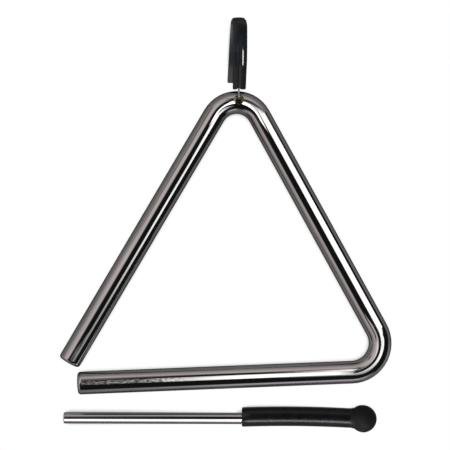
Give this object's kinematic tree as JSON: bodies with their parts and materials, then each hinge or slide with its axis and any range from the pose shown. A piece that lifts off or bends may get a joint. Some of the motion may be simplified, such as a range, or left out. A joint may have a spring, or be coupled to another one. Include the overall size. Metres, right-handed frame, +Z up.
{
  "type": "triangle instrument",
  "caption": "Bent steel bar triangle, open at one corner, with a rubber finger strap on a nylon line and a loose steel beater with a rubber ball grip",
  "frame": {"origin": "on the table under the middle of the set's box", "axes": "+X to the right along the beater, +Y from the bottom bar to the apex, +Z up off the table"},
  "size_m": [0.146, 0.1828, 0.012],
  "materials": {
    "plated_steel": "bright plated",
    "clear_nylon": "clear",
    "strap_rubber": "semi-gloss",
    "grip_rubber": "satin"
  },
  "bodies": {
    "triangle": {"triangle_rod": "plated_steel"},
    "hanger": {"suspension_line": "clear_nylon"},
    "strap": {"hand_strap": "strap_rubber"},
    "beater": {"beater_rod": "plated_steel", "beater_grip": "grip_rubber"}
  },
  "joints": [
    {"name": "strap_swing", "type": "hinge", "parent": "triangle", "child": "hanger", "pos_m": [0.00575, 0.05475, 0.005], "axis": [0, 0, 1], "range_deg": [-18, 18]},
    {"name": "strap_lift", "type": "hinge", "parent": "hanger", "child": "strap", "pos_m": [0.00575, 0.05386, 0.005], "axis": [1, 0, 0], "range_deg": [0, 70], "deforming": ["suspension_line"]},
    {"name": "beater_lift", "type": "slide", "parent": "triangle", "child": "beater", "axis": [0, 0, 1], "range_m": [0, 0.08]}
  ]
}
